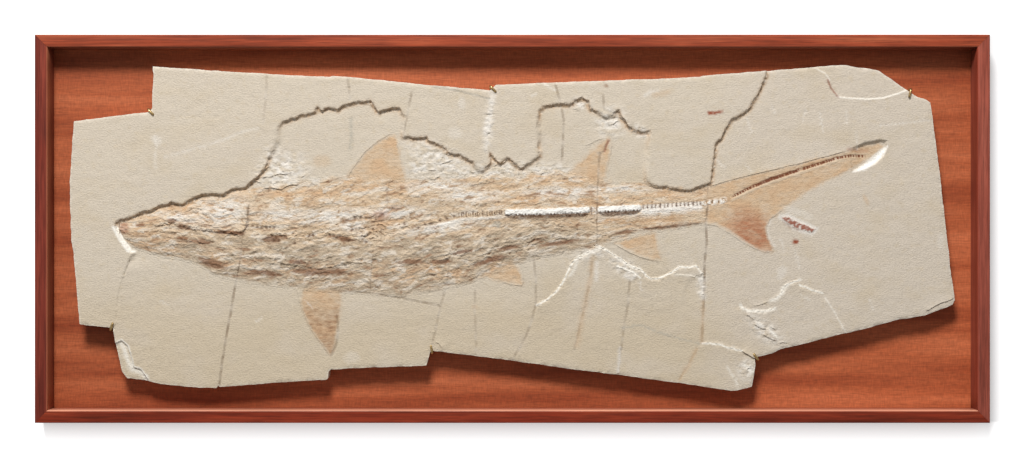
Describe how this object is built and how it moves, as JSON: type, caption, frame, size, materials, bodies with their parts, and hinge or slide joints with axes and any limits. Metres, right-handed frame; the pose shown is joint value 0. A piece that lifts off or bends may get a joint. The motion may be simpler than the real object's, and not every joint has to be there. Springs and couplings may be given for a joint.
{
  "type": "framed fossil shark",
  "caption": "Fossil shark in relief on a broken pale limestone slab, held by bent brass pins on the board of a shallow mahogany frame.",
  "frame": {"origin": "middle of the frame's flat back, which is the face it rests on when it lies down", "axes": "+X along the frame towards the shark's tail, +Y towards the edge that is uppermost on a wall, +Z out of the face towards the viewer"},
  "size_m": [1.2, 0.488, 0.038],
  "materials": {
    "mahogany_rail": "satin",
    "mahogany_board": "satin",
    "limestone": "matte",
    "brass_pin": "satin"
  },
  "bodies": {
    "root": {"rail_top": "mahogany_rail", "rail_bottom": "mahogany_rail", "rail_left": "mahogany_rail", "rail_right": "mahogany_rail", "back_board": "mahogany_board", "fossil_slab": "limestone", "pin_upper_left": "brass_pin", "pin_top": "brass_pin", "pin_upper_right": "brass_pin", "pin_lower_left": "brass_pin", "pin_bottom": "brass_pin", "pin_lower_right": "brass_pin"}
  },
  "joints": []
}
